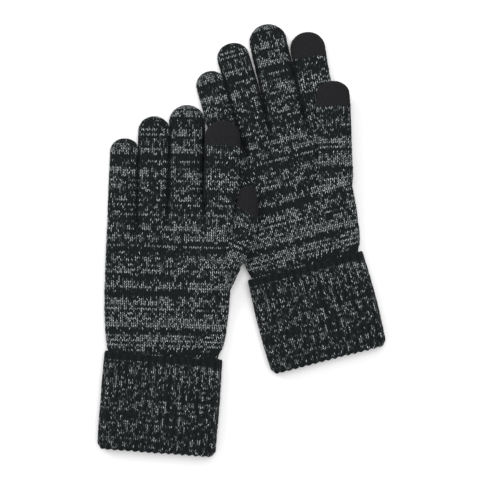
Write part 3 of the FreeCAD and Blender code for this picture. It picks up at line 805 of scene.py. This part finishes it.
RIBS = 35  # raised ribs round a cuff
RIB_COLUMNS = 16  # mesh columns in each
CUFF_WIDE = 83.0
CUFF_LAYER = 1.4  # thickness of one layer
CUFF_GAP = 0.3  # room between the layers
EDGE_EXTRA = 0.2  # how much rounder than the layer its edges are
EDGE_STEPS = 9
CUFF_BOW = {"left": 0.3, "right": 1.2}  # how far the sides bow out
CORNER_CUT = 2.0  # how far the sides draw in at the fold
CORNER_FROM = 0.94  # and from which share of the way down
WAVE = 0.35  # how far the fold waves with the ribs
WAVE_FROM = 0.9
HIDDEN_FLATTER = 0.6  # share of the relief lost on the face inside a layer


def cuff_path(bottom, inside_top, inside_bottom, step):
    """Rows of one cuff layer, from its inside near the bottom out round the fold, up and over its edge.

    Each row is (y, how far inside the layer's outer face it lies).
    """
    round_off = CUFF_LAYER / 2 + EDGE_EXTRA
    rows = []
    for y in np.arange(inside_bottom, bottom + round_off, -step):
        rows.append((y, 2 * round_off))
    for angle in np.linspace(0, math.pi, EDGE_STEPS):
        rows.append((bottom + round_off - round_off * math.sin(angle),
                     round_off + round_off * math.cos(angle)))
    for y in np.arange(bottom + round_off + step, -round_off, step):
        rows.append((y, 0.0))
    for angle in np.linspace(0, math.pi, EDGE_STEPS):
        rows.append((round_off * math.sin(angle) - round_off, round_off - round_off * math.cos(angle)))
    for y in np.arange(-round_off - step, inside_top, -step):
        rows.append((y, 2 * round_off))
    return rows


def cuff_grid(rows, wide, thick, bow):
    """Smooth surface of one cuff layer in the cuff's own frame."""
    columns = RIBS * RIB_COLUMNS
    grid = np.zeros((len(rows), columns, 3))
    ripple = np.sin(2 * math.pi * np.arange(columns) / RIB_COLUMNS)
    for row, (y, inset) in enumerate(rows):
        down = np.clip(-y / CUFF_TALL, 0, 1)
        corner = CORNER_CUT * float(smooth(down, CORNER_FROM, 1.0))
        half_wide = wide / 2 - inset + bow * math.sin(math.pi * down) - corner
        x, z = tube_ring(columns, half_wide, thick / 2 - inset, 0)
        grid[row, :, 0] = x
        grid[row, :, 1] = y + WAVE * float(smooth(down, WAVE_FROM, 1)) * ripple
        grid[row, :, 2] = CUFF_MIDDLE + z
    return grid


def build_cuff(glove, materials):
    """The ribbed wrist inside, and the layer turned up around it."""
    place = f"{glove}_cuff"
    step = 2 * (CUFF_LAYER + CUFF_GAP)
    # name, bottom, width, thickness, where its inside ends at the top and at the bottom, row spacing,
    # node and body; both layers have their upper edge at the origin
    layers = (
        (f"{glove}_cuff_knit", -CUFF_TALL, CUFF_WIDE, CUFF_THICK, -9.0, -CUFF_TALL + 10,
         COURSE / 3, f"{glove}_cuff_turnup", f"{glove}_cuff"),
        (f"{glove}_wrist_knit", -CUFF_TALL + 0.8, CUFF_WIDE - step, CUFF_THICK - step, -1.4, -6.0,
         COURSE / 2, f"{glove}_wrist_rib", f"{glove}_hand"),
    )
    for name, bottom, wide, thick, inside_top, inside_bottom, spacing, node, body in layers:
        rows = cuff_path(bottom, inside_top, inside_bottom, spacing)
        grid = cuff_grid(rows, wide, thick, CUFF_BOW[glove])
        grid = soft_noise(grid, CUFF_UNEVEN, CUFF_SEED[glove])
        count = grid.shape[:2]
        ribs = np.broadcast_to(np.arange(count[1]) / RIB_COLUMNS, count)
        ys, inset = np.array(rows).T[..., None]
        courses = np.broadcast_to(ys / COURSE, count)
        height = rib_relief(ribs, courses) * (1 - HIDDEN_FLATTER * np.clip(inset / CUFF_LAYER, 0, 1))
        piece = knit_piece(name, place, grid, surface_normals(grid), height, ribs, courses, materials["rib"])
        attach(piece, body)
        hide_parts(node)


# ---- Materials ----

LOW_SPECULAR = 0.12
YARN_ROUGHNESS, YARN_SHEEN = 0.92, 0.03
TOUCH_ROUGHNESS, TOUCH_SHEEN, TOUCH_SEED = 0.9, 0.03, 4.0
# DARKEST is the colour of the painted shade in the stitches' gaps and in folds
DARKEST = (0.002, 0.003, 0.0035)
DARK_YARN = ((0.0025, 0.0034, 0.0037), (0.0135, 0.0172, 0.0185))
PALE_YARN = ((0.19, 0.212, 0.217), (0.86, 0.91, 0.92))
CONDUCTIVE_YARN = ((0.002, 0.002, 0.0024), (0.020, 0.020, 0.0218))
FLOOR_COLOUR, FLOOR_ROUGHNESS = (0.86, 0.86, 0.86), 0.9

# What makes a fleck: each stitch's own leg, its row, streaks along the yarn and wide bands of rows.
# Scales are across and along the columns. The seeds are added to the material's own.
LEG_WEIGHT, STREAK_WEIGHT, BAND_WEIGHT = 0.5, 1.1, 0.6
ROW_WEIGHT = {"stockinette": 0.55, "rib": 0.15}
STREAKS, BANDS, STRANDS = (0.3, 3.7), (0.05, 0.21), (5.0, 4.0)
STREAK_SEED, TONE_SEED, ROW_SEED, BAND_SEED = 3.0, 5.0, 7.0, 9.0
FLECK_THRESHOLD = {"stockinette": 1.31, "rib": 1.12}
FLECK_SOFT = 0.34
# Spans over which a leg, a strand and a row come to carry flecks.
FLECK_LEG, FLECK_STRAND, FLECK_ROW = (0.45, 0.95), (0.42, 0.60), (0.3, 0.9)
# Spans, and the shares of light at both ends, of the shade beside rows, legs and ribs and in folds.
SHADE_ROW, SHADE_LEG = (0.0, 0.6, 0.25, 1.0), (0.0, 0.75, 0.25, 1.0)
SHADE_RIB, SHADE_FOLD = (0.24, 0.40, 1.0, 0.35), (0.0, 0.9, 1.0, 0.08)
TONE_SCALE = 2.3
EDGE_ROW = -3.0  # the turned-up edge is dark above this row
EDGE_SOFT = 0.3


class Nodes:
    """Short calls for building one material's node tree."""

    def __init__(self, name, roughness, sheen):
        self.material = bpy.data.materials.new(name)
        self.material.use_nodes = True
        self.tree = self.material.node_tree
        self.shader = self.tree.nodes["Principled BSDF"]
        self.shader.inputs["Roughness"].default_value = roughness
        self.shader.inputs["Sheen Weight"].default_value = sheen
        self.shader.inputs["Specular IOR Level"].default_value = LOW_SPECULAR

    def plug(self, socket, value):
        if isinstance(value, (int, float)):
            socket.default_value = value
        else:
            self.tree.links.new(value, socket)

    def math(self, operation, first, second=0.0, third=0.0):
        node = self.tree.nodes.new("ShaderNodeMath")
        node.operation = operation
        for socket, value in zip(node.inputs, (first, second, third)):
            self.plug(socket, value)
        return node.outputs[0]

    def times(self, first, second):
        return self.math("MULTIPLY", first, second)

    def ridge(self, value, rate):
        """Rises from 0 to 1 and back, so many times in each unit of the value."""
        return self.math("ABSOLUTE", self.math("SINE", self.times(value, rate * math.pi)))

    def between(self, value, low, high, to_low=0.0, to_high=1.0):
        """A smooth step from to_low at low to to_high at high."""
        node = self.tree.nodes.new("ShaderNodeMapRange")
        node.interpolation_type = "SMOOTHSTEP"
        self.plug(node.inputs["Value"], value)
        for socket, number in zip(("From Min", "From Max", "To Min", "To Max"), (low, high, to_low, to_high)):
            node.inputs[socket].default_value = number
        return node.outputs[0]

    def stitch_place(self):
        """Columns and rows of stitches at the point, from the UV map."""
        source = self.tree.nodes.new("ShaderNodeUVMap")
        source.uv_map = "knit"
        split = self.tree.nodes.new("ShaderNodeSeparateXYZ")
        self.tree.links.new(source.outputs[0], split.inputs[0])
        return split.outputs[0], split.outputs[1]

    def texture(self, kind, x, y, seed):
        """A texture node read at a place, with the seed as the third coordinate."""
        place = self.tree.nodes.new("ShaderNodeCombineXYZ")
        for socket, value in zip(place.inputs, (x, y, seed)):
            self.plug(socket, value)
        node = self.tree.nodes.new(kind)
        node.noise_dimensions = "3D"
        self.tree.links.new(place.outputs[0], node.inputs["Vector"])
        return node

    def white(self, x, y, seed):
        return self.texture("ShaderNodeTexWhiteNoise", x, y, seed).outputs["Value"]

    def noise(self, x, y, seed, scale=1.0, detail=1.0):
        node = self.texture("ShaderNodeTexNoise", x, y, seed)
        node.inputs["Scale"].default_value = scale
        node.inputs["Detail"].default_value = detail
        return node.outputs["Fac"]

    def stretched(self, x, x_rate, y, y_rate, seed, detail=1.0):
        return self.noise(self.times(x, x_rate), self.times(y, y_rate), seed, detail=detail)

    def blend(self, share, low, high):
        node = self.tree.nodes.new("ShaderNodeMix")
        node.data_type = "RGBA"
        self.plug(node.inputs[0], share)
        for socket, colour in ((node.inputs[6], low), (node.inputs[7], high)):
            if isinstance(colour, tuple):
                socket.default_value = (*colour, 1.0)
            else:
                self.tree.links.new(colour, socket)
        return node.outputs[2]


def marled(name, knit, seed):
    """Dark yarn with pale flecks that follow the stitches, row by row."""
    ribbed = knit == "rib"
    nodes = Nodes(name, YARN_ROUGHNESS, YARN_SHEEN)
    wale, course = nodes.stitch_place()
    off_centre = nodes.math("ABSOLUTE", nodes.math("SUBTRACT", nodes.math("FRACT", wale), 0.5))
    if ribbed:
        legs = 4.0
        folded = nodes.math("MINIMUM", off_centre, nodes.math("SUBTRACT", 0.5, off_centre))
        lift = nodes.times(folded, RIB_RISE)
    else:
        legs = 2.0
        lift = nodes.times(off_centre, STITCH_RISE * 2)
    row_place = nodes.math("SUBTRACT", course, lift)
    row = nodes.math("FLOOR", row_place)
    per_leg = nodes.white(nodes.math("FLOOR", nodes.times(wale, legs)), row, seed)
    per_row = nodes.white(0.0, row, seed + ROW_SEED)
    streaks = nodes.stretched(wale, legs * STREAKS[0], row, STREAKS[1], seed + STREAK_SEED)
    bands = nodes.stretched(wale, BANDS[0], row, BANDS[1], seed + BAND_SEED)
    strands = nodes.stretched(wale, legs * STRANDS[0], row_place, STRANDS[1], seed, detail=2.0)
    total = nodes.math("MULTIPLY_ADD", per_leg, LEG_WEIGHT, nodes.times(streaks, STREAK_WEIGHT))
    total = nodes.math("MULTIPLY_ADD", per_row, ROW_WEIGHT[knit], total)
    total = nodes.math("MULTIPLY_ADD", bands, BAND_WEIGHT, total)
    threshold = FLECK_THRESHOLD[knit]
    fleck = nodes.between(total, threshold, threshold + FLECK_SOFT)
    on_leg = nodes.ridge(wale, legs)
    on_row = nodes.ridge(row_place, 1.0)
    for pattern, span in ((on_leg, FLECK_LEG), (strands, FLECK_STRAND), (on_row, FLECK_ROW)):
        fleck = nodes.times(fleck, nodes.between(pattern, *span))
    # painted shade: darker between the rows and legs of stitches, and on the cuff in the sunken columns
    # between ribs
    shade = nodes.times(nodes.between(on_row, *SHADE_ROW), nodes.between(on_leg, *SHADE_LEG))
    if ribbed:
        dark_edge = nodes.between(course, EDGE_ROW - EDGE_SOFT, EDGE_ROW + EDGE_SOFT, 1.0, 0.0)
        fleck = nodes.times(fleck, dark_edge)
        shade = nodes.times(shade, nodes.between(off_centre, *SHADE_RIB))
    else:
        # painted shade: the colour darkens deep in the folds between fingers and in the palm's valleys
        folds = nodes.tree.nodes.new("ShaderNodeAttribute")
        folds.attribute_name = "crease"
        shade = nodes.times(shade, nodes.between(folds.outputs["Fac"], *SHADE_FOLD))
    dark = nodes.blend(nodes.noise(wale, row, seed + TONE_SEED, scale=TONE_SCALE), *DARK_YARN)
    pale = nodes.blend(per_leg, *PALE_YARN)
    colour = nodes.blend(shade, DARKEST, nodes.blend(fleck, dark, pale))
    nodes.tree.links.new(colour, nodes.shader.inputs["Base Color"])
    return nodes.material


def conductive(name):
    """Plain charcoal yarn with only its stitch columns to be seen."""
    nodes = Nodes(name, TOUCH_ROUGHNESS, TOUCH_SHEEN)
    wale, course = nodes.stitch_place()
    tone = nodes.stretched(wale, 2.0, course, 2.0, TOUCH_SEED, detail=2.0)
    colour = nodes.blend(tone, *CONDUCTIVE_YARN)
    nodes.tree.links.new(colour, nodes.shader.inputs["Base Color"])
    return nodes.material


# ---- Surroundings, in metres ----

FLOOR_HALF = 5.0
WORLD_LIGHT = 0.72
LIGHTS = (("overhead", (0.15, 0.25, 1.3), 1.0, 12.0), ("from_top_left", (-0.9, 0.9, 0.9), 0.5, 8.0))
CAMERA_AT = (-0.0012, 0.00016, 0.943)
LENS_MM, SENSOR_MM = 100.0, 36.0
VIEW_END = 20.0


def build_floor():
    """A plain pale table top."""
    mesh = bpy.data.meshes.new("floor")
    corners = [(x * FLOOR_HALF, y * FLOOR_HALF, 0) for x, y in ((-1, -1), (1, -1), (1, 1), (-1, 1))]
    mesh.from_pydata(corners, [], [(0, 1, 2, 3)])
    floor = bpy.data.objects.new("floor", mesh)
    bpy.context.scene.collection.objects.link(floor)
    nodes = Nodes("pale_floor", FLOOR_ROUGHNESS, 0.0)
    nodes.shader.inputs["Base Color"].default_value = (*FLOOR_COLOUR, 1.0)
    mesh.materials.append(nodes.material)


def add_light(name, place, size, power):
    """A square soft light that looks at the gloves."""
    data = bpy.data.lights.new(name, "AREA")
    data.shape = "SQUARE"
    data.size = size
    data.energy = power
    light = bpy.data.objects.new(name, data)
    light.location = place
    light.rotation_euler = (-Vector(place)).to_track_quat("-Z", "Y").to_euler()
    bpy.context.scene.collection.objects.link(light)


def light_scene():
    world = bpy.data.worlds.new("studio")
    world.use_nodes = True
    background = world.node_tree.nodes["Background"]
    background.inputs[0].default_value = (1.0, 1.0, 1.0, 1.0)
    background.inputs[1].default_value = WORLD_LIGHT
    bpy.context.scene.world = world
    bpy.context.scene.view_settings.view_transform = "Standard"
    for name, place, size, power in LIGHTS:
        add_light(name, place, size, power)


def add_camera():
    """Straight above the middle of the gloves, as far away as the lens needs."""
    data = bpy.data.cameras.new("camera")
    data.lens = LENS_MM
    data.sensor_width = SENSOR_MM
    data.clip_end = VIEW_END
    camera = bpy.data.objects.new("camera", data)
    camera.location = CAMERA_AT
    bpy.context.scene.collection.objects.link(camera)
    bpy.context.scene.camera = camera


MATERIALS = {
    "knit": marled("marled_knit", "stockinette", 11.0),
    "rib": marled("marled_rib", "rib", 23.0),
    "touch": conductive("conductive_knit"),
}

for side in GLOVES:
    build_palm(side, MATERIALS["knit"])
    build_cuff(side, MATERIALS)
    build_thumb(side, MATERIALS)
    for digit in FINGERS:
        build_finger(side, digit, MATERIALS)

build_floor()
light_scene()
add_camera()
